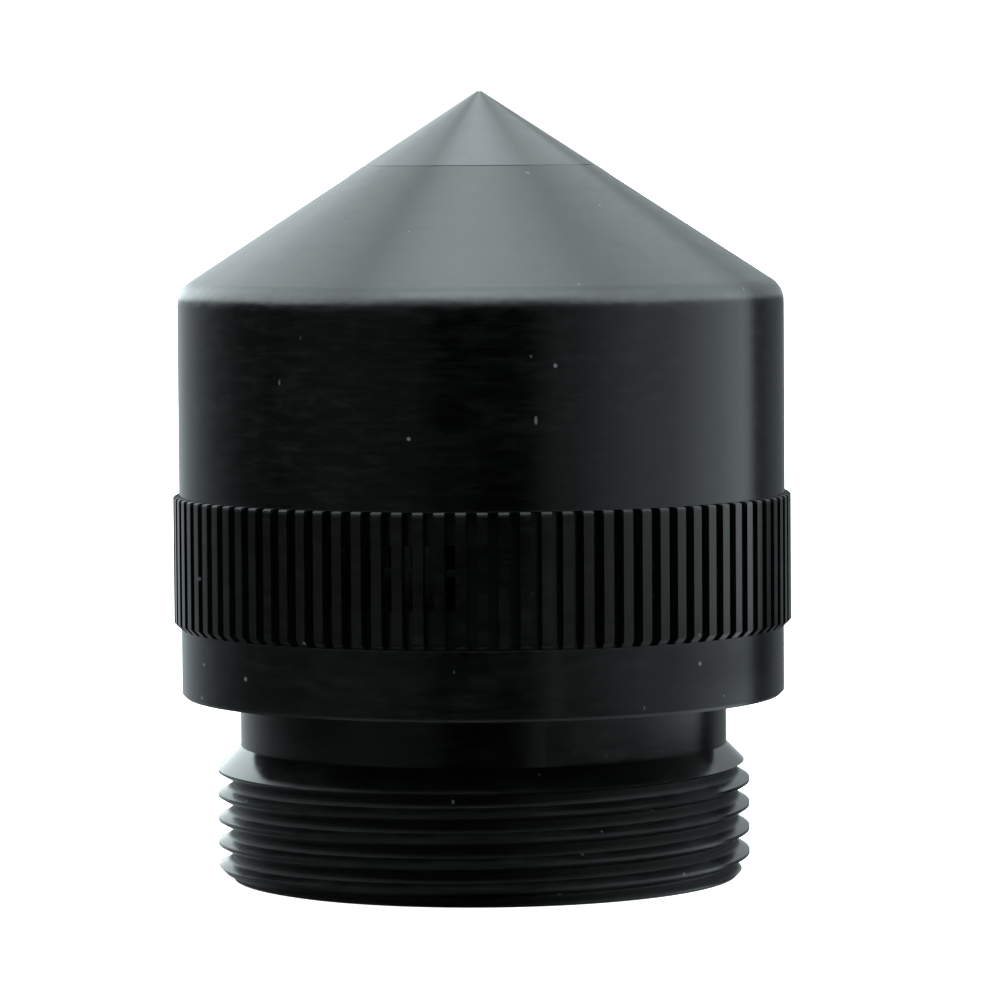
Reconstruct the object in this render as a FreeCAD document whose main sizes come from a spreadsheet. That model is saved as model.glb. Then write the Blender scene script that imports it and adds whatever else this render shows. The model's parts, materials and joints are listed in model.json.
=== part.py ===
import FreeCAD, Part
import os
import re
import Sketcher
from FreeCAD import Vector

# A small screw-in exhaust muffler for compressed air, in millimetres.
#
# The threaded foot screws into the exhaust port. Air comes up the inlet bore, through a
# strainer, up the core tube and out through the sintered sleeve into the hollow cone. From
# there it turns back down through the stack of felt rings and drilled discs into the lower
# chamber, and leaves through the windows of the base and the fine slots between the ribs of
# the collar. Turning the collar against the stop pin closes the slots.
#
# The origin is the middle of the inlet face, the foot of the thread. +Z is the axis of
# symmetry and points at the tip of the cone. A size whose name ends in _level is a height
# above the inlet face.

SIZES = (
    ("shell_diameter", 25.0, "cap, straight part"),
    ("ribbed_diameter", 25.5, "over the ribs of the collar"),
    ("skirt_diameter", 24.9, "shoulder of the base, under the collar"),
    ("neck_diameter", 20.1, "plain neck between thread and shoulder"),
    ("thread_diameter", 22.0, "port thread M22 x 1, over the crests"),
    ("thread_pitch", 1.0, "port thread"),
    ("thread_depth", 0.6134, "port thread"),
    ("thread_lead", 0.53, "start of the port thread's groove, under the inlet face"),
    ("thread_end_level", 4.7, "end of the port thread's groove, which runs out at the back"),
    ("foot_chamfer", 0.55, "end of the port thread"),
    ("neck_level", 5.5, "top of the port thread"),
    ("shoulder_level", 7.55, "underside of the shoulder"),
    ("skirt_level", 10.37, "top of the shoulder, which carries the collar"),
    ("cap_level", 15.84, "lower edge of the cap"),
    ("cone_level", 24.3, "foot of the cone"),
    ("apex_level", 32.45, "where the lines of the cone meet"),
    ("cone_rounding", 1.1, "rounding between straight part and cone"),
    ("edge_break", 0.15, "chamfer on the turned edges"),
    ("seam_radius", 4.75, "joint line between cap and tip"),
    ("seam_bevel", 0.02, "edge break on both sides of the joint line"),
    ("seam_gap", 0.012, "tip inside its seat"),
    ("blunt_radius", 0.1, "flattened point of the tip"),
    ("spigot_radius", 10.85, "tube of the base, on which the collar turns"),
    ("spigot_level", 20.6, "top of the tube of the base"),
    ("running_gap", 0.05, "collar and cap on the tube of the base"),
    ("end_gap", 0.02, "collar under the cap and above the shoulder"),
    ("window_bottom_level", 11.9, "exhaust windows"),
    ("window_top_level", 14.5, "exhaust windows"),
    ("window_angle", 26.0, "exhaust windows"),
    ("window_count", 6, "exhaust windows"),
    ("rib_count", 94, "ribs round the collar"),
    ("rib_root_radius", 12.2, "bottom of the gaps between the ribs"),
    ("rib_gap_width", 0.47, "gap between two ribs, at the outside"),
    ("rib_gap_root_width", 0.41, "gap between two ribs, at its bottom"),
    ("slot_radius", 12.32, "reach of the windows inside the collar, past the rib gaps"),
    ("collar_top_bevel", 0.06, "upper ends of the ribs"),
    ("collar_foot_bevel", 0.25, "lower ends of the ribs, across"),
    ("collar_foot_rise", 0.25, "lower ends of the ribs, upwards"),
    ("turn_angle", 30.0, "travel of the collar"),
    ("pin_radius", 0.4, "stop pin"),
    ("pin_ring_radius", 11.4, "distance of the stop pin from the axis"),
    ("pin_bottom_level", 8.8, "stop pin"),
    ("pin_top_level", 11.2, "stop pin"),
    ("pin_half_angle", 2.31, "half of the stop pin and its play, seen from the axis"),
    ("stop_recess_radius", 11.9, "recess for the stop pin, inside the collar"),
    ("stop_recess_level", 11.35, "roof of the recess for the stop pin"),
    ("seal_groove_depth", 0.65, "both seal grooves of the base"),
    ("seal_groove_width", 0.9, "both seal grooves of the base"),
    ("seal_section_radius", 0.33, "both seal rings, squeezed"),
    ("collar_seal_level", 15.15, "middle of the collar's seal ring"),
    ("cap_seal_level", 16.55, "middle of the cap's seal ring"),
    ("cap_thread_radius", 10.5, "thread of the base for the cap, over the crests"),
    ("cap_thread_depth", 0.4, "thread of the base for the cap"),
    ("cap_thread_pitch", 0.75, "thread between base and cap"),
    ("relief_bottom_level", 17.2, "undercut below the thread for the cap"),
    ("relief_top_level", 17.7, "undercut below the thread for the cap"),
    ("relief_radius", 9.95, "undercut below the thread for the cap"),
    ("spigot_chamfer", 0.4, "top of the thread for the cap"),
    ("nut_thread_radius", 10.56, "thread inside the cap, over its crests"),
    ("nut_thread_depth", 0.28, "thread inside the cap"),
    ("nut_relief_radius", 10.95, "undercut above the thread inside the cap"),
    ("nut_relief_level", 20.7, "lower edge of that undercut"),
    ("nut_relief_height", 0.6, "height of that undercut"),
    ("cap_chamber_radius", 10.2, "hollow of the cap"),
    ("cone_wall_height", 1.9, "wall of the cone, measured upwards"),
    ("spring_seat_radius", 7.62, "outer edge of the spring seat inside the cone"),
    ("pocket_radius", 6.2, "pocket for the nut inside the cone"),
    ("pocket_level", 27.1, "roof of that pocket"),
    ("washer_thickness", 0.25, "slide washer between cap and collar"),
    ("washer_inner_radius", 10.95, "slide washer"),
    ("washer_outer_radius", 11.9, "slide washer"),
    ("tip_seat_level", 28.3, "floor of the seat of the tip"),
    ("tip_seal_thickness", 0.25, "seal under the head of the tip"),
    ("tip_seal_radius", 4.5, "seal under the head of the tip"),
    ("stem_radius", 2.5, "stem of the tip"),
    ("stem_play", 0.05, "holes round the stem of the tip"),
    ("stem_level", 25.4, "lower end of the stem of the tip"),
    ("stem_chamfer", 0.3, "lower end of the stem of the tip"),
    ("nut_level", 25.6, "underside of the nut on the stem"),
    ("nut_flats", 8.0, "width of the nut across its flats"),
    ("nut_side_count", 6, "flats of the nut"),
    ("nut_chamfer", 0.3, "corners of the nut"),
    ("chamber_radius", 9.0, "bore of the base round the stack"),
    ("web_bottom_level", 5.6, "wall between inlet and chamber"),
    ("web_top_level", 8.2, "wall between inlet and chamber"),
    ("passage_radius", 5.6, "bore above the strainer"),
    ("inlet_radius", 6.5, "inlet bore"),
    ("inlet_chamfer", 0.4, "mouth of the inlet bore"),
    ("strainer_level", 3.1, "underside of the strainer"),
    ("strainer_thickness", 0.5, "strainer"),
    ("strainer_play", 0.05, "strainer inside the inlet bore"),
    ("strainer_hole_radius", 0.48, "holes of the strainer"),
    ("strainer_hole_step", 1.55, "distance from one ring of holes to the next"),
    ("clip_thickness", 0.6, "snap ring under the strainer"),
    ("clip_groove_radius", 6.95, "groove of the snap ring"),
    ("clip_outer_radius", 6.9, "snap ring"),
    ("clip_inner_radius", 6.0, "snap ring"),
    ("clip_gap_width", 2.6, "opening of the snap ring"),
    ("clip_lug_radius", 0.85, "eyes of the snap ring"),
    ("clip_eye_radius", 0.35, "holes of the eyes of the snap ring"),
    ("clip_lug_ring", 5.6, "distance of the eyes from the axis"),
    ("clip_lug_offset", 1.9, "distance of the eyes from the middle of the opening"),
    ("tube_radius", 4.0, "core tube, outside"),
    ("tube_bore_radius", 3.3, "core tube, inside"),
    ("tube_flange_radius", 4.9, "flange of the core tube"),
    ("tube_flange_height", 0.6, "flange of the core tube"),
    ("tube_level", 24.4, "top of the core tube"),
    ("tube_hole_radius", 0.45, "cross holes of the core tube"),
    ("tube_hole_count", 10, "cross holes in one row"),
    ("tube_row_level", 22.0, "lower row of cross holes"),
    ("tube_row_step", 1.3, "from the lower to the upper row of cross holes"),
    ("slip_gap", 0.1, "play of the rings on the core tube and in the chamber"),
    ("screen_thickness", 0.4, "screen behind the windows"),
    ("screen_level", 14.7, "top of the screen, which carries the stack"),
    ("screen_slot_width", 0.5, "slots of the screen"),
    ("screen_slot_height", 1.0, "slots of the screen"),
    ("screen_row_step", 1.3, "from one row of slots to the next"),
    ("screen_row_level", 12.0, "foot of the lowest row of slots"),
    ("screen_row_count", 2, "rows of slots of the screen"),
    ("screen_slot_count", 42, "slots in one row of the screen"),
    ("disc_thickness", 0.45, "drilled discs"),
    ("felt_thickness", 1.55, "felt rings"),
    ("disc_hole_radius", 0.6, "holes of the drilled discs"),
    ("disc_inner_ring", 5.5, "ring of holes near the core tube"),
    ("disc_outer_ring", 7.8, "ring of holes near the wall"),
    ("disc_inner_count", 10, "holes near the core tube"),
    ("disc_outer_count", 16, "holes near the wall"),
    ("pressure_thickness", 0.7, "pressure disc on top of the stack"),
    ("pressure_ring", 8.1, "ring of holes of the pressure disc"),
    ("pressure_hole_radius", 0.5, "holes of the pressure disc"),
    ("pressure_hole_count", 20, "holes of the pressure disc"),
    ("sleeve_radius", 5.5, "sintered sleeve, outside"),
    ("tube_cap_radius", 5.4, "lid of the core tube"),
    ("tube_cap_height", 0.6, "lid of the core tube"),
    ("tube_cap_plug", 0.5, "plug of the lid, inside the core tube"),
    ("spring_radius", 6.9, "stack spring, middle of its wire"),
    ("spring_wire_radius", 0.35, "stack spring"),
    ("spring_coil_pitch", 1.15, "stack spring"),
    ("flank_ratio", 0.57735, "tangent of 30 degrees, the flank of a thread"),
    ("crest_share", 0.875, "groove of a thread at its crests, as a share of the pitch"),
)
SHEET = "Sizes"
ADDING = ("Pad", "Revolution", "AdditiveHelix")
CUTTING = ("Pocket", "Groove", "SubtractiveHelix", "PolarPattern", "Fillet")
SMALLEST_CHANGE_MM3 = 1e-4

doc = FreeCAD.newDocument("ExhaustMuffler")
sheet = doc.addObject("Spreadsheet::Sheet", SHEET)
for row, (alias, number, meaning) in enumerate(SIZES, start=1):
    sheet.set(f"A{row}", meaning)
    sheet.set(f"B{row}", str(number))
    sheet.setAlias(f"B{row}", alias)
doc.recompute()


def bound(text):
    """The expression in which each named size is read from the sheet."""
    return re.sub(r"[a-z][a-z_]+", lambda name: f"{SHEET}.{name.group()}", text)


def number_of(text):
    """What the expression comes to now."""
    found = sheet.evalExpression(bound(text))
    return float(getattr(found, "Value", found))


def on_cone(radius):
    """The height of the outside of the cone at a radius."""
    return f"apex_level - ({radius}) * (apex_level - cone_level) / (shell_diameter / 2)"


def in_cone(radius):
    """The height of the inside of the cone at a radius."""
    return f"{on_cone(radius)} - cone_wall_height"


# ---------------------------------------------------------------- sketches


def new_body(label, lift=None):
    body = doc.addObject("PartDesign::Body", label)
    body.Label = label
    if lift:
        body.setExpression("Placement.Base.z", bound(lift))
    return body


def new_sketch(body, name, role, lift=None):
    """An empty sketch on one of the body's own origin planes, raised by lift."""
    planes = [item for item in body.Origin.OriginFeatures if item.Role == role]
    sketch = body.newObject("Sketcher::SketchObject", f"{body.Label}_{name}")
    sketch.AttachmentSupport = [(planes[0], "")]
    sketch.MapMode = "FlatFace"
    if lift:
        sketch.setExpression("AttachmentOffset.Base.z", bound(lift))
    return sketch


def fix_point(sketch, item, end, across, along):
    """Binds one point of a sketch: across is along the sketch's x, along is along its y."""
    for kind, text, axis in (("DistanceX", across, -2), ("DistanceY", along, -1)):
        distance = number_of(text)
        if distance == 0:
            sketch.addConstraint(Sketcher.Constraint("PointOnObject", item, end, axis))
            continue
        limit = Sketcher.Constraint(kind, -1, 1, item, end, distance)
        if distance < 0:
            limit = Sketcher.Constraint(kind, item, end, -1, 1, -distance)
            text = f"-({text})"
        place = sketch.addConstraint(limit)
        sketch.setExpression(f"Constraints[{place}]", bound(text))


def draw_outline(sketch, corners):
    """A closed outline of straight lines through the corners."""
    points = [Vector(number_of(x), number_of(y), 0) for x, y in corners]
    first = sketch.GeometryCount
    for start, end in zip(points, points[1:] + points[:1]):
        sketch.addGeometry(Part.LineSegment(start, end), False)
    for place, (across, along) in enumerate(corners):
        before = first + (place - 1) % len(corners)
        joint = Sketcher.Constraint("Coincident", before, 2, first + place, 1)
        sketch.addConstraint(joint)
        fix_point(sketch, first + place, 1, across, along)


def draw_circle(sketch, across, along, radius):
    centre = Vector(number_of(across), number_of(along), 0)
    circle = Part.Circle(centre, Vector(0, 0, 1), number_of(radius))
    item = sketch.addGeometry(circle, False)
    fix_point(sketch, item, 3, across, along)
    limit = Sketcher.Constraint("Radius", item, number_of(radius))
    place = sketch.addConstraint(limit)
    sketch.setExpression(f"Constraints[{place}]", bound(radius))


def box_corners(inner, outer, bottom, top):
    """The corners of a rectangle between two radii and two heights."""
    return ((inner, bottom), (outer, bottom), (outer, top), (inner, top))


# ---------------------------------------------------------------- features


def add_feature(body, kind, name, sketch):
    feature = body.newObject(f"PartDesign::{kind}", f"{body.Label}_{name}")
    feature.Profile = sketch
    sketch.Visibility = False
    return feature


def revolve(body, sketch):
    feature = add_feature(body, "Revolution", "turned", sketch)
    feature.ReferenceAxis = (sketch, ["V_Axis"])
    feature.Angle = 360
    return body


def turn_body(label, corners, lift=None):
    """A body turned about Z from an outline of (radius, height) corners."""
    body = new_body(label, lift)
    sketch = new_sketch(body, "section", "XZ_Plane")
    draw_outline(sketch, corners)
    return revolve(body, sketch)


def turn_ring(label, radius, level, section):
    """A ring of round section."""
    body = new_body(label)
    sketch = new_sketch(body, "section", "XZ_Plane")
    draw_circle(sketch, radius, level, section)
    return revolve(body, sketch)


def repeat_round(body, feature, axis, count):
    """Repeats the feature evenly round the axis of the body."""
    pattern = body.newObject("PartDesign::PolarPattern", f"{feature.Label}_round")
    pattern.Originals = [feature]
    pattern.Axis = axis
    pattern.Angle = 360
    pattern.setExpression("Occurrences", bound(count))
    body.Tip = pattern


def cut_arc(body, name, corners, angle, count=None, angle_back=None):
    """Cuts a stretch of ring out of the body: from X towards +Y, and back by angle_back."""
    sketch = new_sketch(body, f"{name}_section", "XZ_Plane")
    draw_outline(sketch, corners)
    groove = add_feature(body, "Groove", name, sketch)
    groove.ReferenceAxis = (sketch, ["V_Axis"])
    if angle_back:
        groove.Type = "TwoAngles"
        groove.setExpression("Angle2", bound(angle_back))
    groove.setExpression("Angle", bound(angle))
    if count:
        repeat_round(body, groove, (sketch, ["V_Axis"]), count)


def cut_down_through(body, name, draw, count=None):
    """Cuts what draw puts in a sketch right through the body, along Z."""
    sketch = new_sketch(body, f"{name}_outline", "XY_Plane")
    draw(sketch)
    pocket = add_feature(body, "Pocket", name, sketch)
    pocket.Type = "ThroughAll"
    pocket.Reversed = True
    if count:
        repeat_round(body, pocket, (sketch, ["N_Axis"]), count)


def cut_hole_ring(body, name, ring, radius, count):
    """A ring of round holes along Z."""
    cut_down_through(
        body, name, lambda sketch: draw_circle(sketch, ring, "0", radius), count
    )


def cut_towards_axis(body, name, draw, count):
    """Cuts what draw puts in a sketch through one wall of the body, towards the axis."""
    sketch = new_sketch(body, f"{name}_outline", "XZ_Plane")
    draw(sketch)
    pocket = add_feature(body, "Pocket", name, sketch)
    pocket.Type = "ThroughAll"
    repeat_round(body, pocket, (sketch, ["V_Axis"]), count)


def cut_thread(body, name, crest, depth, pitch, start, height, inside=False):
    """Cuts a right-hand thread into a wall of radius crest, from start upwards."""
    spill = "edge_break / 3"
    root_half = f"(crest_share * {pitch} / 2 - {depth} * flank_ratio)"
    crest_half = f"(crest_share * {pitch} / 2 + {spill} * flank_ratio)"
    side = "-" if inside else "+"
    opening = f"{crest} {side} {spill}"
    root = f"{crest} + {depth}" if inside else f"{crest} - {depth}"
    sketch = new_sketch(body, f"{name}_section", "XZ_Plane")
    corners = (
        (root, f"{start} - {root_half}"),
        (opening, f"{start} - {crest_half}"),
        (opening, f"{start} + {crest_half}"),
        (root, f"{start} + {root_half}"),
    )
    draw_outline(sketch, corners)
    helix = add_feature(body, "SubtractiveHelix", name, sketch)
    helix.ReferenceAxis = (sketch, ["V_Axis"])
    helix.Mode = "pitch-height-angle"
    helix.setExpression("Pitch", bound(pitch))
    helix.setExpression("Height", bound(height))


def round_edge(body, name, radius, level, rounding):
    """Rounds the circular edge of the body that has this radius and height."""
    doc.recompute()
    whole = body.Tip
    edges = []
    for place, edge in enumerate(whole.Shape.Edges, start=1):
        if not isinstance(edge.Curve, Part.Circle):
            continue
        same_radius = abs(edge.Curve.Radius - number_of(radius)) < 1e-4
        same_level = abs(edge.Curve.Center.z - number_of(level)) < 1e-4
        if same_radius and same_level:
            edges.append(f"Edge{place}")
    fillet = body.newObject("PartDesign::Fillet", f"{body.Label}_{name}")
    fillet.Base = (whole, edges)
    fillet.setExpression("Radius", bound(rounding))


# ---------------------------------------------------------------- base and collar


def make_threaded_base():
    """Port thread, neck, shoulder and the tube that carries collar, cap and stack."""
    groove_half = "seal_groove_width / 2"
    groove_floor = "spigot_radius - seal_groove_depth"
    corners = [
        ("inlet_radius + inlet_chamfer", "0"),
        ("thread_diameter / 2 - foot_chamfer", "0"),
        ("thread_diameter / 2", "foot_chamfer"),
        ("thread_diameter / 2", "neck_level - (thread_diameter - neck_diameter) / 2"),
        ("neck_diameter / 2", "neck_level"),
        ("neck_diameter / 2", "shoulder_level"),
        ("skirt_diameter / 2 - edge_break", "shoulder_level"),
        ("skirt_diameter / 2", "shoulder_level + edge_break"),
        ("skirt_diameter / 2", "skirt_level"),
        ("spigot_radius", "skirt_level"),
    ]
    for level in ("collar_seal_level", "cap_seal_level"):
        corners += [
            ("spigot_radius", f"{level} - {groove_half}"),
            (groove_floor, f"{level} - {groove_half}"),
            (groove_floor, f"{level} + {groove_half}"),
            ("spigot_radius", f"{level} + {groove_half}"),
        ]
    corners += [
        ("spigot_radius", "relief_bottom_level"),
        ("relief_radius", "relief_bottom_level"),
        ("relief_radius", "relief_top_level"),
        ("cap_thread_radius", "relief_top_level + cap_thread_radius - relief_radius"),
        ("cap_thread_radius", "spigot_level - spigot_chamfer"),
        ("cap_thread_radius - spigot_chamfer", "spigot_level"),
        ("chamber_radius", "spigot_level"),
        ("chamber_radius", "web_top_level"),
        ("tube_radius", "web_top_level"),
        ("tube_radius", "web_bottom_level"),
        ("passage_radius", "web_bottom_level"),
        ("passage_radius", "strainer_level + strainer_thickness"),
        ("inlet_radius", "strainer_level + strainer_thickness"),
        ("inlet_radius", "strainer_level"),
        ("clip_groove_radius", "strainer_level"),
        ("clip_groove_radius", "strainer_level - clip_thickness"),
        ("inlet_radius", "strainer_level - clip_thickness"),
        ("inlet_radius", "inlet_chamfer"),
    ]
    body = turn_body("threaded_base", corners)
    window = box_corners(
        "chamber_radius - 1",
        "spigot_radius + 1",
        "window_bottom_level",
        "window_top_level",
    )
    cut_arc(body, "window", window, "window_angle", "window_count")
    pin_sketch = new_sketch(body, "pin_outline", "XY_Plane", "skirt_level")
    draw_circle(pin_sketch, "pin_ring_radius", "0", "pin_radius")
    pin_hole = add_feature(body, "Pocket", "pin_hole", pin_sketch)
    pin_hole.setExpression("Length", bound("skirt_level - pin_bottom_level"))
    cut_thread(
        body,
        "cap_thread",
        "cap_thread_radius",
        "cap_thread_depth",
        "cap_thread_pitch",
        "relief_bottom_level + cap_thread_pitch / 2",
        "spigot_level - relief_bottom_level + cap_thread_pitch",
    )
    cut_thread(
        body,
        "port_thread",
        "thread_diameter / 2",
        "thread_depth",
        "thread_pitch",
        "-thread_lead",
        "thread_end_level + thread_lead",
    )


def make_throttle_collar():
    """The ribbed ring that turns on the base and opens and closes its windows."""
    bottom = "skirt_level + end_gap"
    top = "cap_level - end_gap"
    corners = (
        ("spigot_radius + running_gap", bottom),
        ("ribbed_diameter / 2 - collar_foot_bevel", bottom),
        ("ribbed_diameter / 2", f"{bottom} + collar_foot_rise"),
        ("ribbed_diameter / 2", f"{top} - collar_top_bevel"),
        ("ribbed_diameter / 2 - collar_top_bevel", top),
        ("spigot_radius + running_gap", top),
    )
    body = turn_body("throttle_collar", corners)

    def draw_rib_gap(sketch):
        outline = (
            ("rib_root_radius", "-rib_gap_root_width / 2"),
            ("ribbed_diameter / 2 + 1", "-rib_gap_width / 2"),
            ("ribbed_diameter / 2 + 1", "rib_gap_width / 2"),
            ("rib_root_radius", "rib_gap_root_width / 2"),
        )
        draw_outline(sketch, outline)

    cut_down_through(body, "rib_gap", draw_rib_gap, "rib_count")
    slots = box_corners(
        "spigot_radius - 1", "slot_radius", "window_bottom_level", "window_top_level"
    )
    cut_arc(body, "slots", slots, "window_angle", "window_count")
    recess = box_corners(
        "spigot_radius - 1", "stop_recess_radius", "skirt_level", "stop_recess_level"
    )
    cut_arc(
        body,
        "stop_recess",
        recess,
        "pin_half_angle",
        angle_back="turn_angle + pin_half_angle",
    )


def make_stop_pin():
    corners = (
        ("0", "pin_bottom_level"),
        ("pin_radius", "pin_bottom_level"),
        ("pin_radius", "pin_top_level"),
        ("0", "pin_top_level"),
    )
    body = turn_body("stop_pin", corners)
    body.setExpression("Placement.Base.x", bound("pin_ring_radius"))


def make_seal_rings():
    for label, level in (
        ("collar_seal_ring", "collar_seal_level"),
        ("cap_seal_ring", "cap_seal_level"),
    ):
        middle = "spigot_radius - seal_groove_depth + seal_section_radius"
        turn_ring(label, middle, level, "seal_section_radius")


# ---------------------------------------------------------------- cap and tip


def make_cap_shell():
    """Straight part and cone, hollow, with the seat of the tip and a thread inside."""
    recess_top = "cap_level + washer_thickness"
    step = "relief_bottom_level + running_gap"
    bore = "spigot_radius + running_gap"
    relief_top = "nut_relief_level + nut_relief_height"
    rim = "seam_radius + seam_bevel"
    corners = (
        ("washer_outer_radius + running_gap", "cap_level"),
        ("shell_diameter / 2", "cap_level"),
        ("shell_diameter / 2", "cone_level"),
        (rim, on_cone(rim)),
        ("seam_radius", f"{on_cone('seam_radius')} - seam_bevel"),
        ("seam_radius", "tip_seat_level"),
        ("stem_radius + stem_play", "tip_seat_level"),
        ("stem_radius + stem_play", "pocket_level"),
        ("pocket_radius", "pocket_level"),
        ("pocket_radius", in_cone("spring_seat_radius")),
        ("spring_seat_radius", in_cone("spring_seat_radius")),
        ("cap_chamber_radius", in_cone("cap_chamber_radius")),
        ("cap_chamber_radius", relief_top),
        ("nut_relief_radius", relief_top),
        ("nut_relief_radius", "nut_relief_level"),
        ("nut_thread_radius", "nut_relief_level"),
        ("nut_thread_radius", step),
        (bore, step),
        (bore, recess_top),
        ("washer_outer_radius + running_gap", recess_top),
    )
    body = turn_body("cap_shell", corners)
    cut_thread(
        body,
        "thread",
        "nut_thread_radius",
        "nut_thread_depth",
        "cap_thread_pitch",
        step,
        f"nut_relief_level + nut_relief_height / 2 - ({step})",
        inside=True,
    )
    round_edge(
        body, "rounding", "shell_diameter / 2", "cone_level", "cone_rounding"
    )


def make_cone_tip():
    """The separate point of the cone, with the stem that holds it."""
    rim = "seam_radius - seam_bevel"
    head = "tip_seat_level + tip_seal_thickness"
    corners = (
        ("0", on_cone("blunt_radius")),
        ("0", "stem_level"),
        ("stem_radius - stem_chamfer", "stem_level"),
        ("stem_radius", "stem_level + stem_chamfer"),
        ("stem_radius", head),
        ("seam_radius - seam_gap", head),
        ("seam_radius - seam_gap", f"{on_cone('seam_radius')} - seam_bevel"),
        (rim, on_cone(rim)),
        ("blunt_radius", on_cone("blunt_radius")),
    )
    turn_body("cone_tip", corners)


def make_tip_nut():
    corner_radius = "nut_flats * flank_ratio"
    corners = (
        ("stem_radius + stem_play", "nut_level"),
        (f"{corner_radius} - nut_chamfer", "nut_level"),
        (corner_radius, "nut_level + nut_chamfer * flank_ratio"),
        (corner_radius, "pocket_level"),
        ("stem_radius + stem_play", "pocket_level"),
    )
    body = turn_body("tip_nut", corners)

    def draw_flat(sketch):
        outline = box_corners("nut_flats / 2", "nut_flats", "-nut_flats", "nut_flats")
        draw_outline(sketch, outline)

    cut_down_through(body, "flat", draw_flat, "nut_side_count")


def make_cap_washers():
    slide = box_corners(
        "washer_inner_radius",
        "washer_outer_radius",
        "cap_level",
        "cap_level + washer_thickness",
    )
    turn_body("collar_slide_washer", slide)
    seal = box_corners(
        "stem_radius + stem_play",
        "tip_seal_radius",
        "tip_seat_level",
        "tip_seat_level + tip_seal_thickness",
    )
    turn_body("tip_seal_washer", seal)


# ---------------------------------------------------------------- inlet


def make_inlet_strainer():
    disc = box_corners(
        "0", "inlet_radius - strainer_play", "0", "strainer_thickness"
    )
    body = turn_body("inlet_strainer", disc, "strainer_level")
    cut_down_through(
        body,
        "middle_hole",
        lambda sketch: draw_circle(sketch, "0", "0", "strainer_hole_radius"),
    )
    for ring in (1, 2, 3):
        cut_hole_ring(
            body,
            f"hole_ring_{ring}",
            f"{ring} * strainer_hole_step",
            "strainer_hole_radius",
            f"{6 * ring}",
        )


def make_strainer_snap_ring():
    """An open spring ring with two eyes, in the groove under the strainer."""
    ring = box_corners("clip_inner_radius", "clip_outer_radius", "0", "clip_thickness")
    body = turn_body("strainer_snap_ring", ring, "strainer_level - clip_thickness")

    def draw_gap(sketch):
        outline = box_corners(
            "clip_inner_radius / 2",
            "clip_outer_radius + 1",
            "-clip_gap_width / 2",
            "clip_gap_width / 2",
        )
        draw_outline(sketch, outline)

    cut_down_through(body, "gap", draw_gap)
    lug_sketch = new_sketch(body, "lug_outline", "XY_Plane")
    for side in ("", "-"):
        offset = f"{side}clip_lug_offset"
        draw_circle(lug_sketch, "clip_lug_ring", offset, "clip_lug_radius")
    lugs = add_feature(body, "Pad", "lugs", lug_sketch)
    lugs.setExpression("Length", bound("clip_thickness"))

    def draw_eyes(sketch):
        for side in ("", "-"):
            offset = f"{side}clip_lug_offset"
            draw_circle(sketch, "clip_lug_ring", offset, "clip_eye_radius")

    cut_down_through(body, "eyes", draw_eyes)


# ---------------------------------------------------------------- core and stack


def make_core_tube():
    """The tube that carries the air past the stack, pressed into the web of the base."""
    corners = (
        ("tube_bore_radius", "web_bottom_level"),
        ("tube_radius", "web_bottom_level"),
        ("tube_radius", "web_top_level"),
        ("tube_flange_radius", "web_top_level"),
        ("tube_flange_radius", "web_top_level + tube_flange_height"),
        ("tube_radius", "web_top_level + tube_flange_height"),
        ("tube_radius", "tube_level"),
        ("tube_bore_radius", "tube_level"),
    )
    body = turn_body("core_tube", corners)

    def draw_holes(sketch):
        for level in ("tube_row_level", "tube_row_level + tube_row_step"):
            draw_circle(sketch, "0", level, "tube_hole_radius")

    cut_towards_axis(body, "cross_holes", draw_holes, "tube_hole_count")


def make_core_tube_lid():
    corners = (
        ("0", "tube_level - tube_cap_plug"),
        ("tube_bore_radius", "tube_level - tube_cap_plug"),
        ("tube_bore_radius", "tube_level"),
        ("tube_cap_radius", "tube_level"),
        ("tube_cap_radius", "tube_level + tube_cap_height - edge_break"),
        ("tube_cap_radius - edge_break", "tube_level + tube_cap_height"),
        ("0", "tube_level + tube_cap_height"),
    )
    turn_body("core_tube_lid", corners)


def make_window_screen():
    outer = "chamber_radius - slip_gap"
    corners = box_corners(
        f"{outer} - screen_thickness", outer, "web_top_level", "screen_level"
    )
    body = turn_body("window_screen", corners)

    def draw_slots(sketch):
        for row in range(int(number_of("screen_row_count"))):
            foot = f"screen_row_level + {row} * screen_row_step"
            slot = box_corners(
                "-screen_slot_width / 2",
                "screen_slot_width / 2",
                foot,
                f"{foot} + screen_slot_height",
            )
            draw_outline(sketch, slot)

    cut_towards_axis(body, "slots", draw_slots, "screen_slot_count")


def make_stack():
    """Drilled discs and felt rings in turn, then the pressure disc."""
    inner = "tube_radius + slip_gap"
    outer = "chamber_radius - slip_gap"
    disc = box_corners(inner, outer, "0", "disc_thickness")
    felt = box_corners(inner, outer, "0", "felt_thickness")
    near_tube = ("disc_inner_ring", "disc_inner_count")
    near_wall = ("disc_outer_ring", "disc_outer_count")
    layers = (("lower", near_tube), ("middle", near_wall), ("upper", near_tube))
    for place, (name, (ring, count)) in enumerate(layers):
        foot = f"screen_level + {place} * (disc_thickness + felt_thickness)"
        body = turn_body(f"baffle_disc_{name}", disc, foot)
        cut_hole_ring(body, "holes", ring, "disc_hole_radius", count)
        turn_body(f"felt_ring_{name}", felt, f"{foot} + disc_thickness")
    body = turn_body(
        "pressure_disc",
        box_corners(inner, outer, "0", "pressure_thickness"),
        f"screen_level + {len(layers)} * (disc_thickness + felt_thickness)",
    )
    cut_hole_ring(
        body, "holes", "pressure_ring", "pressure_hole_radius", "pressure_hole_count"
    )


STACK_TOP = "screen_level + 3 * (disc_thickness + felt_thickness) + pressure_thickness"


def make_sintered_sleeve():
    sleeve = box_corners(
        "tube_radius + slip_gap / 2", "sleeve_radius", STACK_TOP, "tube_level"
    )
    turn_body("sintered_sleeve", sleeve)


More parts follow.
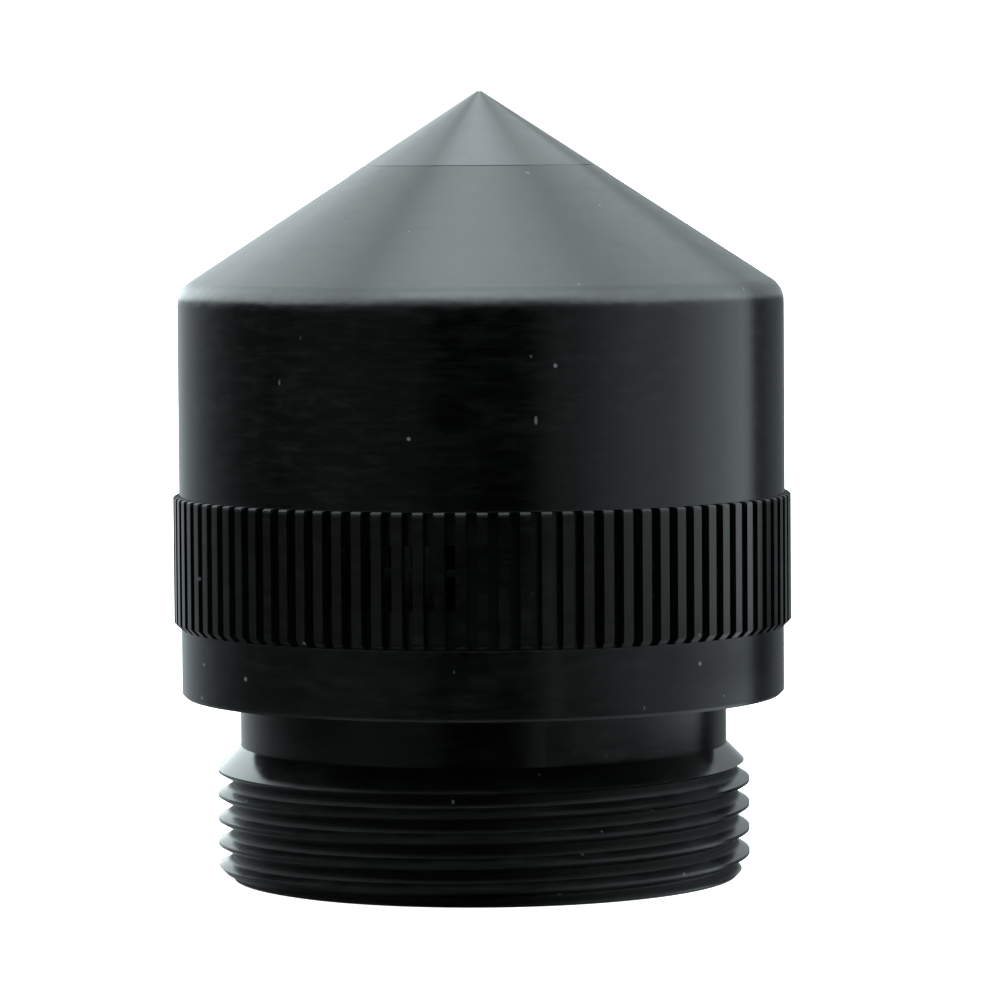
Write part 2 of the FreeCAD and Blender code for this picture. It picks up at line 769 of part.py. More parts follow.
def make_stack_spring():
    """The open coil between the pressure disc and its seat inside the cone."""
    body = new_body("stack_spring")
    sketch = new_sketch(body, "section", "XZ_Plane")
    draw_circle(
        sketch, "spring_radius", f"{STACK_TOP} + spring_wire_radius", "spring_wire_radius"
    )
    coil = add_feature(body, "AdditiveHelix", "coil", sketch)
    coil.ReferenceAxis = (sketch, ["V_Axis"])
    coil.Mode = "pitch-height-angle"
    coil.setExpression("Pitch", bound("spring_coil_pitch"))
    reach = f"{in_cone('spring_seat_radius')} - ({STACK_TOP}) - 2 * spring_wire_radius"
    coil.setExpression("Height", bound(f"{reach} - running_gap"))


# ---------------------------------------------------------------- checks and files


def check_body(body):
    """Stops if a feature failed, or if it changed nothing."""
    for item in body.Group + [body]:
        if "Invalid" in item.State or "Error" in item.State:
            raise RuntimeError(f"{item.Label} failed: {item.State}")
    for item in body.Group:
        kind = item.TypeId.split("::")[-1]
        if kind not in CUTTING + ADDING or item.BaseFeature is None:
            continue
        change = item.Shape.Volume - item.BaseFeature.Shape.Volume
        if abs(change) < SMALLEST_CHANGE_MM3 or (change > 0) != (kind in ADDING):
            raise RuntimeError(f"{item.Label} changed the volume by {change}")
    shape = body.Shape
    if shape.isNull() or not shape.isValid() or len(shape.Solids) != 1:
        raise RuntimeError(f"{body.Label} is not one valid solid")


make_threaded_base()
make_throttle_collar()
make_stop_pin()
make_seal_rings()
make_cap_shell()
make_cone_tip()
make_tip_nut()
make_cap_washers()
make_inlet_strainer()
make_strainer_snap_ring()
make_core_tube()
make_core_tube_lid()
make_window_screen()
make_stack()
make_sintered_sleeve()
make_stack_spring()
doc.recompute()

os.makedirs("parts", exist_ok=True)
bodies = [item for item in doc.Objects if item.TypeId == "PartDesign::Body"]
for body in bodies:
    check_body(body)
for body in bodies:
    body.Shape.exportStep(f"parts/{body.Label}.step")
    print(f"{body.Label}: {body.Shape.Volume:.2f} mm3")
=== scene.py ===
"""Looks of the pneumatic muffler: materials, floor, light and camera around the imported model."""

import json
import math

import bpy
from mathutils import Matrix, Vector

MM = 0.001
WHITE = (1.0, 1.0, 1.0)

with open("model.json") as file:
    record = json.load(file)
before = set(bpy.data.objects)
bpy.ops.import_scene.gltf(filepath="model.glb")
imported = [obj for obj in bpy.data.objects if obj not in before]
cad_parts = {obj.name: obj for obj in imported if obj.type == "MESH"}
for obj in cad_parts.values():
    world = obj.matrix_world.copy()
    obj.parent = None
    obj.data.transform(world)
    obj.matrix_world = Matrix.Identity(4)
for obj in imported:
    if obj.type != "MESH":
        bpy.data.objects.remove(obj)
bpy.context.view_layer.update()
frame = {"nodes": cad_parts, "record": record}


# ---------------------------------------------------------------- node graphs


class Graph:
    """Adds nodes to one node tree. An input may be a number, a tuple or another node's output."""

    def __init__(self, tree):
        self.tree = tree
        self.tree.nodes.clear()

    def add(self, kind, inputs=None, **settings):
        node = self.tree.nodes.new(kind)
        for name, value in settings.items():
            setattr(node, name, value)
        for name, value in (inputs or {}).items():
            self.feed(node.inputs[name], value)
        return node

    def feed(self, socket, value):
        if isinstance(value, bpy.types.NodeSocket):
            self.tree.links.new(value, socket)
        elif socket.type == "RGBA" and len(value) == 3:
            socket.default_value = (*value, 1.0)
        else:
            socket.default_value = value

    def maths(self, operation, first, second=0.0, third=0.0, clamp=False):
        node = self.add(
            "ShaderNodeMath",
            {0: first, 1: second, 2: third},
            operation=operation,
            use_clamp=clamp,
        )
        return node.outputs[0]

    def plus(self, first, second):
        return self.maths("ADD", first, second)

    def times(self, first, second):
        return self.maths("MULTIPLY", first, second)

    def smooth(self, value, low, high, start=0.0, end=1.0):
        """start below low, end above high, and a smooth step between them."""
        node = self.add(
            "ShaderNodeMapRange",
            {
                "Value": value,
                "From Min": low,
                "From Max": high,
                "To Min": start,
                "To Max": end,
            },
            interpolation_type="SMOOTHSTEP",
        )
        return node.outputs["Result"]

    def blend(self, factor, first, second):
        """The colour first at factor 0 and second at factor 1."""
        node = self.add(
            "ShaderNodeMix", data_type="RGBA", blend_type="MIX", clamp_factor=True
        )
        self.feed(node.inputs["Factor"], factor)
        self.feed(node.inputs[6], first)
        self.feed(node.inputs[7], second)
        return node.outputs[2]

    def curve(self, value, stops):
        """A grey line from stop to stop of (position, value), both from 0 to 1."""
        node = self.add("ShaderNodeValToRGB", {"Fac": value})
        ramp = node.color_ramp
        ramp.interpolation = "LINEAR"
        while len(ramp.elements) > 1:
            ramp.elements.remove(ramp.elements[-1])
        for index, (position, grey) in enumerate(stops):
            element = ramp.elements[0] if index == 0 else ramp.elements.new(position)
            element.position = position
            element.color = (grey, grey, grey, 1.0)
        return node.outputs["Color"]

    def noise(self, vector, scale, detail=2.0, roughness=0.5):
        node = self.add(
            "ShaderNodeTexNoise",
            {
                "Vector": vector,
                "Scale": scale,
                "Detail": detail,
                "Roughness": roughness,
            },
        )
        return node.outputs["Fac"]

    def cells(self, vector, scale, feature="F1"):
        """The outputs of Voronoi cells: a distance, and a random colour for each cell."""
        node = self.add(
            "ShaderNodeTexVoronoi", {"Vector": vector, "Scale": scale}, feature=feature
        )
        return node.outputs

    def first_channel(self, colour):
        """One number from a random colour."""
        return self.add("ShaderNodeSeparateColor", {"Color": colour}).outputs[0]

    def bump(self, height, distance, normal=None):
        """A relief of distance metres where height goes from 0 to 1."""
        inputs = {"Height": height, "Distance": distance, "Strength": 1.0}
        if normal is not None:
            inputs["Normal"] = normal
        return self.add("ShaderNodeBump", inputs).outputs["Normal"]

    def point(self):
        """The shaded point in metres, in the part's own frame."""
        return self.add("ShaderNodeTexCoord").outputs["Object"]

    def split(self, vector):
        """The x, y and z of a vector."""
        parts = self.add("ShaderNodeSeparateXYZ", {"Vector": vector}).outputs
        return parts["X"], parts["Y"], parts["Z"]

    def vector(self, x, y, z):
        return self.add("ShaderNodeCombineXYZ", {"X": x, "Y": y, "Z": z}).outputs[0]

    def off_axis(self, x, y):
        """The distance from the part's axis."""
        return self.maths("SQRT", self.plus(self.times(x, x), self.times(y, y)))

    def ring_space(self, z, radius, across):
        """A place in millimetres where noise comes out as rings around the axis."""
        return self.vector(self.times(radius, 1000.0), self.times(z, 1000.0), across)

    def stretch(self, vector, scale):
        node = self.add(
            "ShaderNodeMapping", {"Vector": vector, "Scale": scale}, vector_type="POINT"
        )
        return node.outputs[0]

    def combine(self, operation, first, second=(0.0, 0.0, 0.0)):
        node = self.add(
            "ShaderNodeVectorMath", {0: first, 1: second}, operation=operation
        )
        return node.outputs[0]

    def dots(self, vector, scale, share, size):
        """Small round dots scattered through space: 1 inside, 0 outside. Size is in cells."""
        scattered = self.cells(vector, scale)
        tone = self.first_channel(scattered["Color"])
        chosen = self.maths("LESS_THAN", tone, share)
        dot = self.smooth(scattered["Distance"], 0.6 * size, size, 1.0, 0.0)
        return self.times(dot, chosen)


def new_material(name):
    material = bpy.data.materials.new(name)
    material.use_nodes = True
    return material, Graph(material.node_tree)


def finish_material(graph, colour, roughness, normal, settings):
    """The shader, with colour, roughness and relief, and the settings on its own sockets."""
    shader = graph.add(
        "ShaderNodeBsdfPrincipled",
        {"Base Color": colour, "Roughness": roughness, "Normal": normal},
    )
    for name, value in settings.items():
        graph.feed(shader.inputs[name], value)
    graph.add("ShaderNodeOutputMaterial", {"Surface": shader.outputs[0]})


# ---------------------------------------------------------------- materials


# Heights, radii and reaches are in metres. A rise or a fade runs between the two given.
BLACK = (0.0003, 0.00035, 0.00035)
SETTLED_DUST = (0.0012, 0.0013, 0.0013)
LOOSE_DUST = (0.055, 0.06, 0.06)
CAP_EDGES = ((0.01584, 0.00005), (0.02400, 0.0002))
BASE_EDGES = ((0.00762, 0.0001), (0.01037, 0.00005))
COLLAR_EDGES = ((0.01050, 0.0001), (0.01572, 0.0001))
CONE_RISE = (0.0243 - 0.001, 0.0243)
RIB_ROOT_RADIUS = 0.01268
RIB_ROOT_REACH = 0.00012
RIB_END_RISE = (0.01574, 0.01577)
THREAD_ROOT_RADIUS, THREAD_CREST_RADIUS = 0.0104, 0.011
# The reach of the pale crest band: partly rubbing, partly a painted highlight.
CREST_WEAR_AND_HIGHLIGHT_FADE = (0.00004, 0.00018)
LAST_CREST, LEAD_IN_END = 0.0046, 0.0055
LEVEL_BLUR = 0.0002


def worn_threads(graph, z, radius, cloud, wear_and_highlight, rough):
    """The pale mask and roughness: crests pale from rubbing in a band widened onto the flanks as
    a painted highlight, matt roots and a smoother lead-in.
    """
    off_crest = graph.maths("ABSOLUTE", graph.plus(radius, -THREAD_CREST_RADIUS))
    # Painted highlight: the pale crest band reaches onto the flanks to stand for the crests'
    # bright reflection, beside real rubbing.
    rubbed_and_highlight = graph.smooth(off_crest, *CREST_WEAR_AND_HIGHLIGHT_FADE, 1.0, 0.0)
    rubbed_and_highlight = graph.times(rubbed_and_highlight, graph.times(cloud, 0.35))
    turns = graph.smooth(z, LAST_CREST, LAST_CREST + LEVEL_BLUR, 1.0, 0.0)
    half_depth = 0.5 * (THREAD_ROOT_RADIUS + THREAD_CREST_RADIUS)
    matt = graph.smooth(radius, THREAD_ROOT_RADIUS, half_depth, 0.55, 0.0)
    rough = graph.plus(rough, graph.times(matt, turns))
    below_neck = graph.smooth(z, LEAD_IN_END, LEAD_IN_END + LEVEL_BLUR, 1.0, 0.0)
    lead_in = graph.smooth(
        z, LAST_CREST - 0.5 * LEVEL_BLUR, LAST_CREST + LEVEL_BLUR, 0.0, -0.07
    )
    rough = graph.plus(rough, graph.times(lead_in, below_neck))
    return graph.maths("MAXIMUM", wear_and_highlight, rubbed_and_highlight), rough


def dusty_ribs(graph, z, radius, colour, rough):
    """Colour and roughness with dust settled between the ribs and matt upper rib ends."""
    settled = graph.smooth(
        radius, RIB_ROOT_RADIUS - RIB_ROOT_REACH, RIB_ROOT_RADIUS, 1.0, 0.0
    )
    colour = graph.blend(settled, colour, SETTLED_DUST)
    matt = graph.smooth(z, *RIB_END_RISE, 0.0, 0.4)
    return colour, graph.plus(rough, matt)


def turned_black(name, roughness, ior=1.5, marks=1.0, worn_levels=(), extra=None):
    """Black anodised aluminium: the fine rings of a lathe, a grain, dust and pale edges from use.

    marks is the strength of the lathe's and the hands' marks. worn_levels holds the height and
    the reach of each pale edge. extra is "cone", "thread" or "ribs" for the part's own finish;
    "thread" also paints a highlight along the crests.
    """
    material, graph = new_material(name)
    vector = graph.point()
    x, y, z = graph.split(vector)
    radius = graph.off_axis(x, y)
    drift = graph.times(graph.plus(x, graph.times(y, 0.6)), 60.0)
    rings = graph.ring_space(z, radius, drift)
    fine_rings = graph.noise(rings, 9.0, 3.0, 0.7)
    wide_rings = graph.noise(rings, 1.3, 2.0, 0.5)
    grain = graph.noise(vector, 14000.0, 2.0, 0.6)
    cloud = graph.noise(vector, 260.0, 3.0, 0.55)

    dust = graph.dots(vector, 1050.0, 0.1, 0.12)
    shifted = graph.combine("ADD", vector, (0.013, 0.013, 0.013))
    lint = graph.dots(graph.stretch(shifted, (1.7, 1.5, 0.7)), 700.0, 0.1, 0.1)
    specks = graph.maths("MAXIMUM", dust, graph.times(lint, 0.7))
    smears = graph.noise(graph.stretch(shifted, (0.5, 0.5, 1.6)), 1700.0, 4.0, 0.65)

    wear_and_highlight = graph.times(graph.smooth(cloud, 0.45, 0.75), 0.1)
    for level, reach in worn_levels:
        near = graph.maths("ABSOLUTE", graph.plus(z, -level))
        edge = graph.smooth(near, 0.0, reach, 1.0, 0.0)
        wear_and_highlight = graph.maths("MAXIMUM", wear_and_highlight, graph.times(edge, graph.plus(cloud, 0.3)))

    rough = graph.plus(roughness - 0.05, graph.times(fine_rings, 0.05))
    rough = graph.plus(rough, graph.times(cloud, 0.05))
    rough = graph.plus(rough, graph.times(graph.plus(smears, -0.5), 0.16 * marks))
    if extra == "cone":
        coarser = graph.smooth(z, *CONE_RISE, 0.0, 0.085)
        rough = graph.plus(rough, coarser)
    if extra == "thread":
        wear_and_highlight, rough = worn_threads(graph, z, radius, cloud, wear_and_highlight, rough)
    rough = graph.plus(rough, graph.times(specks, 0.08))

    # The pale colour of edges from use, also the painted highlight on the thread crests.
    worn_and_highlight = tuple(0.01 + 2.2 * part for part in BLACK)
    greasy = tuple(0.0022 + part for part in BLACK)
    streaks = graph.smooth(fine_rings, 0.5, 0.72)
    film = graph.maths("MAXIMUM", graph.smooth(smears, 0.45, 0.75), streaks)
    colour = graph.blend(graph.times(wear_and_highlight, 0.8), BLACK, worn_and_highlight)
    colour = graph.blend(graph.times(film, 0.5), colour, greasy)
    if extra == "ribs":
        colour, rough = dusty_ribs(graph, z, radius, colour, rough)
    colour = graph.blend(graph.times(specks, 0.8), colour, LOOSE_DUST)

    normal = graph.bump(fine_rings, 0.0000009 * marks)
    normal = graph.bump(wide_rings, 0.0000016 * marks, normal)
    normal = graph.bump(grain, 0.00000025, normal)
    normal = graph.bump(specks, 0.000003, normal)
    around = graph.add("ShaderNodeTangent", direction_type="RADIAL", axis="Z")
    finish_material(
        graph,
        colour,
        rough,
        normal,
        {
            "Metallic": 0.0,
            "IOR": ior,
            "Anisotropic": 0.9,
            "Anisotropic Rotation": 0.25,
            "Tangent": around.outputs[0],
        },
    )
    return material


def rolled_steel(name, light, dark, roughness, metallic=1.0):
    """Sheet steel: rolling lines, faint stains and small scratches."""
    material, graph = new_material(name)
    vector = graph.point()
    lines = graph.noise(
        graph.stretch(vector, (900.0, 14000.0, 9000.0)), 1.0, 3.0, 0.65
    )
    stains = graph.noise(vector, 420.0, 4.0, 0.6)
    pits = graph.noise(vector, 9000.0, 2.0, 0.5)
    scratch_cells = graph.cells(graph.stretch(vector, (260.0, 2600.0, 900.0)), 1.0)
    scratch = graph.smooth(scratch_cells["Distance"], 0.02, 0.07, 1.0, 0.0)
    shade = graph.plus(graph.times(lines, 0.45), graph.times(stains, 0.55))
    colour = graph.blend(graph.smooth(shade, 0.3, 0.7), dark, light)
    rough = graph.plus(roughness - 0.08, graph.times(lines, 0.1))
    rough = graph.plus(rough, graph.times(stains, 0.12))
    rough = graph.plus(rough, graph.times(scratch, 0.12))
    normal = graph.bump(lines, 0.0000012)
    normal = graph.bump(pits, 0.0000006, normal)
    normal = graph.bump(scratch, -0.000002, normal)
    finish_material(graph, colour, rough, normal, {"Metallic": metallic, "IOR": 2.0})
    return material


# Heights in metres between which the painted shade on the core tube fades out.
PAINTED_SHADE_FADE = (0.0142, 0.0156)


def drawn_brass(name):
    """Drawn tube: fine lines along the axis, light tarnish, and painted shade low in the chamber.
    """
    material, graph = new_material(name)
    vector = graph.point()
    z = graph.split(vector)[2]
    lines = graph.noise(
        graph.stretch(vector, (11000.0, 11000.0, 500.0)), 1.0, 3.0, 0.6
    )
    tarnish = graph.noise(vector, 500.0, 4.0, 0.6)
    colour = graph.blend(
        graph.smooth(tarnish, 0.35, 0.75), (0.74, 0.52, 0.22), (0.42, 0.27, 0.11)
    )
    colour = graph.blend(graph.times(lines, 0.3), colour, (0.82, 0.62, 0.3))
    edge = graph.plus(z, graph.times(tarnish, -0.0012))
    # Painted shade: the tube turns near black low in the chamber, under an uneven edge.
    painted_shade = graph.smooth(edge, *PAINTED_SHADE_FADE, 1.0, 0.0)
    colour = graph.blend(graph.times(painted_shade, 0.97), colour, (0.012, 0.009, 0.006))
    rough = graph.plus(0.2, graph.times(lines, 0.1))
    rough = graph.plus(rough, graph.times(tarnish, 0.15))
    rough = graph.plus(rough, graph.times(painted_shade, 0.2))
    normal = graph.bump(lines, 0.0000014)
    finish_material(graph, colour, rough, normal, {"Metallic": 1.0, "IOR": 1.5})
    return material


def sintered_bronze(name):
    """Sintered bronze: fused grains a quarter of a millimetre across, with dark pores between."""
    material, graph = new_material(name)
    vector = graph.point()
    grains = graph.cells(vector, 4200.0)
    edges = graph.cells(vector, 4200.0, "DISTANCE_TO_EDGE")
    pore = graph.smooth(edges["Distance"], 0.02, 0.16, 1.0, 0.0)
    tone = graph.first_channel(grains["Color"])
    fine = graph.noise(vector, 16000.0, 2.0, 0.6)
    colour = graph.blend(tone, (0.46, 0.27, 0.11), (0.66, 0.43, 0.2))
    colour = graph.blend(graph.times(fine, 0.35), colour, (0.3, 0.2, 0.1))
    colour = graph.blend(graph.times(pore, 0.9), colour, (0.05, 0.03, 0.015))
    rough = graph.plus(0.38, graph.times(pore, 0.4))
    rough = graph.plus(rough, graph.times(fine, 0.1))
    dome = graph.smooth(grains["Distance"], 0.0, 0.75, 1.0, 0.0)
    normal = graph.bump(dome, 0.00005)
    normal = graph.bump(fine, 0.000004, normal)
    finish_material(graph, colour, rough, normal, {"Metallic": 0.9, "IOR": 1.5})
    return material


def pressed_felt(name):
    """Pressed wool felt: short fibres in three directions over a cloudy, oil-stained ground."""
    material, graph = new_material(name)
    vector = graph.point()
    along, across, upward = (
        graph.noise(graph.stretch(vector, scale), 1.0, 3.0, 0.6)
        for scale in (
            (900.0, 9500.0, 7000.0),
            (9500.0, 900.0, 7000.0),
            (6500.0, 6500.0, 1400.0),
        )
    )
    fibres = graph.maths("MAXIMUM", along, graph.maths("MAXIMUM", across, upward))
    cloud = graph.noise(vector, 330.0, 4.0, 0.6)
    fuzz = graph.noise(vector, 21000.0, 2.0, 0.7)
    colour = graph.blend(
        graph.smooth(fibres, 0.5, 0.72), (0.36, 0.335, 0.285), (0.72, 0.69, 0.61)
    )
    colour = graph.blend(
        graph.times(graph.smooth(cloud, 0.5, 0.8), 0.5), colour, (0.33, 0.28, 0.2)
    )
    rough = graph.plus(0.86, graph.times(fuzz, 0.12))
    normal = graph.bump(fibres, 0.00006)
    normal = graph.bump(fuzz, 0.00001, normal)
    finish_material(
        graph,
        colour,
        rough,
        normal,
        {"Sheen Weight": 0.4, "Sheen Roughness": 0.6, "Specular IOR Level": 0.2},
    )
    return material


def moulded_rubber(name):
    """Matt moulded rubber with a powdery bloom."""
    material, graph = new_material(name)
    vector = graph.point()
    grain = graph.noise(vector, 12000.0, 3.0, 0.6)
    bloom = graph.noise(vector, 900.0, 4.0, 0.6)
    colour = graph.blend(
        graph.smooth(bloom, 0.45, 0.85), (0.012, 0.012, 0.013), (0.06, 0.06, 0.062)
    )
    rough = graph.plus(0.55, graph.times(grain, 0.18))
    rough = graph.plus(rough, graph.times(bloom, 0.12))
    normal = graph.bump(grain, 0.000003)
    finish_material(graph, colour, rough, normal, {"Specular IOR Level": 0.4})
    return material


def skived_polymer(name):
    """Waxy slide washer cut from a bar: ring marks and a slight yellowing."""
    material, graph = new_material(name)
    vector = graph.point()
    x, y, z = graph.split(vector)
    rings = graph.ring_space(z, graph.off_axis(x, y), 0.0)
    rings = graph.noise(rings, 11.0, 2.0, 0.6)
    cloud = graph.noise(vector, 600.0, 3.0, 0.6)
    colour = graph.blend(
        graph.smooth(cloud, 0.3, 0.8), (0.78, 0.76, 0.71), (0.66, 0.61, 0.5)
    )
    rough = graph.plus(0.38, graph.times(rings, 0.14))
    normal = graph.bump(rings, 0.000003)
    finish_material(
        graph,
        colour,
        rough,
        normal,
        {
            "Subsurface Weight": 0.25,
            "Subsurface Radius": (0.6, 0.5, 0.4),
            "Subsurface Scale": 0.0006,
        },
    )
    return material


MATERIALS = {
    "cap_black": turned_black(
        "cap_black", 0.145, marks=1.7, worn_levels=CAP_EDGES, extra="cone"
    ),
    "tip_black": turned_black("tip_black", 0.235, ior=1.66, marks=1.7),
    "collar_black": turned_black(
        "collar_black", 0.18, worn_levels=COLLAR_EDGES, extra="ribs"
    ),
    "base_black": turned_black(
        "base_black", 0.18, worn_levels=BASE_EDGES, extra="thread"
    ),
    "bronze": sintered_bronze("bronze"),
    "brass": drawn_brass("brass"),
    "steel": rolled_steel("steel", (0.62, 0.62, 0.61), (0.42, 0.42, 0.41), 0.34),
    "dark_steel": rolled_steel(
        "dark_steel", (0.11, 0.11, 0.115), (0.045, 0.045, 0.05), 0.4, 0.85
    ),
    "felt": pressed_felt("felt"),
    "rubber": moulded_rubber("rubber"),
    "polymer": skived_polymer("polymer"),
}

for part in frame["record"]["subparts"]:
    node = frame["nodes"][part["node"]]
    node.data.materials.clear()
    node.data.materials.append(MATERIALS[part["material_slot"]])


# ---------------------------------------------------------------- floor


FLOOR_RADIUS = 6.0
FLOOR_CORNERS = 96


def staged_mesh(name, corners, material):
    """One flat face through the corners, linked to the scene as an object of its own."""
    mesh = bpy.data.meshes.new(name)
    mesh.from_pydata(corners, [], [tuple(range(len(corners)))])
    mesh.materials.append(material)
    sheet = bpy.data.objects.new(name, mesh)
    bpy.context.scene.collection.objects.link(sheet)
    return sheet


def make_floor():
    """A round pale light table under the part."""
    material, graph = new_material("floor_board")
    vector = graph.point()
    fleck = graph.noise(vector, 900.0, 3.0, 0.6)
    cloud = graph.noise(vector, 18.0, 2.0, 0.5)
    shade = graph.plus(graph.times(fleck, 0.5), graph.times(cloud, 0.5))
    colour = graph.blend(shade, (0.66, 0.66, 0.66), (0.7, 0.7, 0.7))
    rough = graph.plus(0.8, graph.times(fleck, 0.15))
    normal = graph.bump(fleck, 0.00002)
    finish_material(
        graph,
        colour,
        rough,
        normal,
        {
            "Specular IOR Level": 0.1,
            "Emission Color": WHITE,
            "Emission Strength": 0.92,
        },
    )

    steps = [2.0 * math.pi * step / FLOOR_CORNERS for step in range(FLOOR_CORNERS)]
    rim = [
        (FLOOR_RADIUS * math.cos(angle), FLOOR_RADIUS * math.sin(angle), 0.0)
        for angle in steps
    ]
    floor = staged_mesh("floor", rim, material)
    floor.visible_glossy = False


# ---------------------------------------------------------------- flag

# The net is an upright sheet to the right of the part. It is dense up to the thread's last
# crests, dims the neck's and the shoulder's levels more lightly, and thins out to the back.
FLAG_SIDE = 0.022
FLAG_FRONT, FLAG_BACK = -0.045, 0.018
FLAG_BOTTOM, FLAG_TOP = 0.0005, 0.013
LOWER_FADE = (0.0046, 0.0058)
UPPER_RISE = (0.0066, 0.0075)
UPPER_FADE = (0.0090, 0.0108)
BACK_FADE = (0.004, 0.016)


def make_flag():
    """A dark net beside the part, out of the picture, which dims the right-hand light."""
    material, graph = new_material("flag_net")
    vector = graph.point()
    y, z = graph.split(vector)[1:]
    weave = graph.noise(vector, 3000.0, 2.0, 0.6)
    cloth = graph.add(
        "ShaderNodeBsdfDiffuse",
        {"Color": graph.blend(weave, (0.001, 0.001, 0.001), (0.003, 0.003, 0.003))},
    )
    holes = graph.add("ShaderNodeBsdfTransparent")
    lower = graph.smooth(z, *LOWER_FADE, 0.92, 0.15)
    upper = graph.times(
        graph.smooth(z, *UPPER_RISE, 0.0, 0.55), graph.smooth(z, *UPPER_FADE, 1.0, 0.0)
    )
    dense = graph.maths("MAXIMUM", lower, upper)
    dense = graph.times(dense, graph.smooth(y, *BACK_FADE, 1.0, 0.0))
    mixed = graph.add(
        "ShaderNodeMixShader", {0: dense, 1: holes.outputs[0], 2: cloth.outputs[0]}
    )
    graph.add("ShaderNodeOutputMaterial", {"Surface": mixed.outputs[0]})

    corners = [
        (FLAG_SIDE, FLAG_FRONT, FLAG_BOTTOM),
        (FLAG_SIDE, FLAG_BACK, FLAG_BOTTOM),
        (FLAG_SIDE, FLAG_BACK, FLAG_TOP),
        (FLAG_SIDE, FLAG_FRONT, FLAG_TOP),
    ]
    flag = staged_mesh("flag", corners, material)
    flag.visible_camera = False
    flag.visible_shadow = False
    flag.visible_diffuse = False


# ---------------------------------------------------------------- light

# Both tables give the strength of the light that a surface mirrors to the front. The first
# number is how many degrees the surface is turned away from the front, positive to the right.
# UPRIGHT is for upright surfaces and SLOPING for those that lean back.
UPRIGHT = (
    (-90, 0.50),
    (-80, 0.58),
    (-75, 0.50),
    (-67, 0.33),
    (-59, 0.17),
    (-50, 0.065),
    (-41, 0.045),
    (-30, 0.085),
    (-20, 0.075),
    (-12, 0.055),
    (-7, 0.0),
    (6, 0.0),
    (9, 0.03),
    (13, 0.16),
    (19, 0.26),
    (25, 0.46),
    (31, 0.63),
    (38, 0.72),
    (46, 1.08),
    (54, 1.32),
    (58, 1.30),
    (60, 1.05),
    (62, 0.52),
    (63.5, 0.22),
    (66, 0.13),
    (73, 0.17),
    (80, 0.18),
    (86, 0.26),
    (90, 0.35),
)
SLOPING = (
    (-90, 0.70),
    (-75, 1.16),
    (-65, 1.65),
    (-55, 1.90),
    (-45, 2.12),
    (-35, 2.27),
    (-26, 2.07),
    (-16, 3.09),
    (-5, 3.64),
    (5, 3.39),
    (15, 2.80),
    (25, 2.05),
    (35, 2.02),
    (45, 1.85),
    (55, 1.48),
    (65, 0.76),
    (75, 0.63),
    (90, 0.38),
)
FRONT = (0.0, -0.998, 0.063)

# The slope at which the upper panel starts, its rise in the middle and its soft edge.
PANEL_ONSET = 0.23
PANEL_MIDDLE_RISE = 0.12
PANEL_FADE = 0.16
GLOSS_TINT = (0.88, 1.0, 1.03)
ROOM_STRENGTH = 1.1


def light_by_turn(graph, turn, table):
    """The strength in the table for a turn from 0 (left) to 1 (right)."""
    full = max(value for degrees, value in table)
    stops = [(0.5 + degrees / 180.0, value / full) for degrees, value in table]
    return graph.times(graph.curve(turn, stops), full)


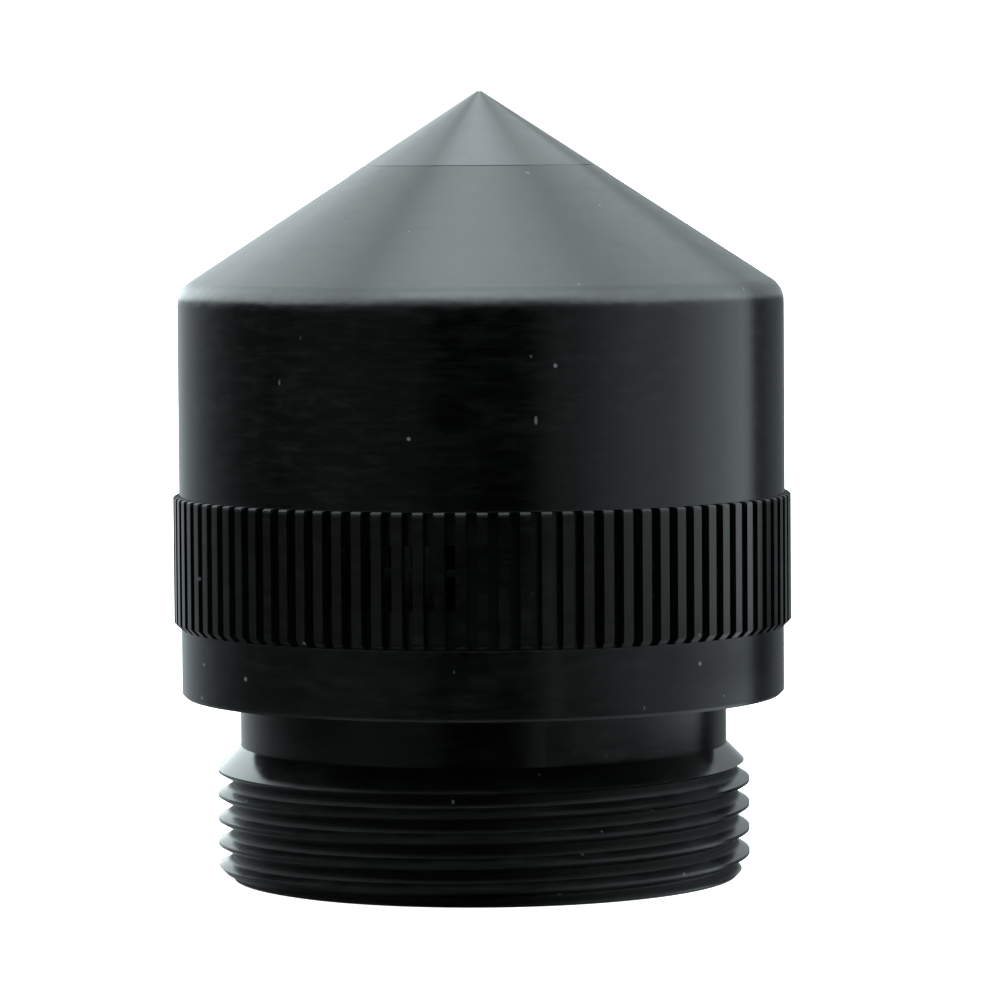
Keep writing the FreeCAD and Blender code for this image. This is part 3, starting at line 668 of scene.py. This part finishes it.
def make_studio():
    """A white room for the eye, and for the gloss a dark one with soft panels.

    Each direction of the room is named by the surface that mirrors it to the front: its turn
    to the left or right and its slope, which is 0 when upright and 1 when facing up. Upright
    surfaces see the panels at the sides. Surfaces that lean back see the big upper panel, which
    starts lower at the sides than in the middle and is brighter low on the right.
    """
    world = bpy.data.worlds.new("studio")
    world.use_nodes = True
    bpy.context.scene.world = world
    graph = Graph(world.node_tree)
    direction = graph.add("ShaderNodeTexCoord").outputs["Generated"]
    between = graph.combine("NORMALIZE", graph.combine("ADD", direction, FRONT))
    x, y, slope = graph.split(between)
    angle = graph.maths("ARCTAN2", x, graph.times(y, -1.0))
    turn = graph.maths("MULTIPLY_ADD", angle, 1.0 / math.pi, 0.5, clamp=True)

    steep = graph.smooth(slope, 0.34, 0.64, 1.0, 0.0)
    undercut = graph.smooth(slope, -0.9, -0.3, 0.35, 1.0)
    upright = graph.times(
        graph.times(steep, undercut), light_by_turn(graph, turn, UPRIGHT)
    )

    middle = graph.times(
        graph.smooth(turn, 0.30, 0.44), graph.smooth(turn, 0.56, 0.68, 1.0, 0.0)
    )
    onset = graph.plus(PANEL_ONSET, graph.times(middle, PANEL_MIDDLE_RISE))
    sloping = graph.smooth(graph.maths("SUBTRACT", slope, onset), 0.0, PANEL_FADE)
    overhead = graph.smooth(slope, 0.93, 0.985, 1.0, 0.1)
    sloping = graph.times(sloping, overhead)
    low_glow = graph.smooth(turn, 0.66, 0.95, 0.9, -0.2)
    low_glow = graph.times(low_glow, graph.smooth(slope, 0.58, 0.82, 1.0, 0.0))
    sloping = graph.times(sloping, graph.plus(1.0, low_glow))
    sloping = graph.times(sloping, light_by_turn(graph, turn, SLOPING))
    gloss = graph.plus(upright, sloping)

    seen = graph.add("ShaderNodeLightPath").outputs["Is Camera Ray"]
    unseen = graph.maths("SUBTRACT", 1.0, seen)
    strength = graph.plus(
        graph.times(gloss, unseen), graph.times(seen, ROOM_STRENGTH)
    )
    colour = graph.blend(seen, GLOSS_TINT, WHITE)
    background = graph.add(
        "ShaderNodeBackground", {"Color": colour, "Strength": strength}
    )
    graph.add("ShaderNodeOutputWorld", {"Surface": background.outputs[0]})


# ---------------------------------------------------------------- camera


CAMERA_PLACE = Vector((0.0, -230.3, 30.08)) * MM
CAMERA_PITCH, CAMERA_YAW, CAMERA_ROLL = 3.615, 0.185, -0.395
CAMERA_SENSOR, CAMERA_LENS = 36.0, 201.0


def make_camera():
    """A long lens near the height of the tip, looking slightly down at the part's front."""
    pitch, yaw, roll = (
        math.radians(angle) for angle in (CAMERA_PITCH, CAMERA_YAW, CAMERA_ROLL)
    )
    forward = Vector(
        (
            math.sin(yaw) * math.cos(pitch),
            math.cos(yaw) * math.cos(pitch),
            -math.sin(pitch),
        )
    )
    right = Vector((math.cos(yaw), -math.sin(yaw), 0.0))
    up = right.cross(forward)
    rolled_right = math.cos(roll) * right + math.sin(roll) * up
    rolled_up = math.cos(roll) * up - math.sin(roll) * right
    data = bpy.data.cameras.new("camera")
    data.sensor_width = CAMERA_SENSOR
    data.lens = CAMERA_LENS
    data.clip_start = 0.005
    data.clip_end = 20.0
    camera = bpy.data.objects.new("camera", data)
    bpy.context.scene.collection.objects.link(camera)
    camera.matrix_world = Matrix(
        (
            (rolled_right.x, rolled_up.x, -forward.x, CAMERA_PLACE.x),
            (rolled_right.y, rolled_up.y, -forward.y, CAMERA_PLACE.y),
            (rolled_right.z, rolled_up.z, -forward.z, CAMERA_PLACE.z),
            (0.0, 0.0, 0.0, 1.0),
        )
    )
    bpy.context.scene.camera = camera


make_floor()
make_flag()
make_studio()
make_camera()
bpy.context.scene.view_settings.view_transform = "Standard"

bpy.context.view_layer.update()
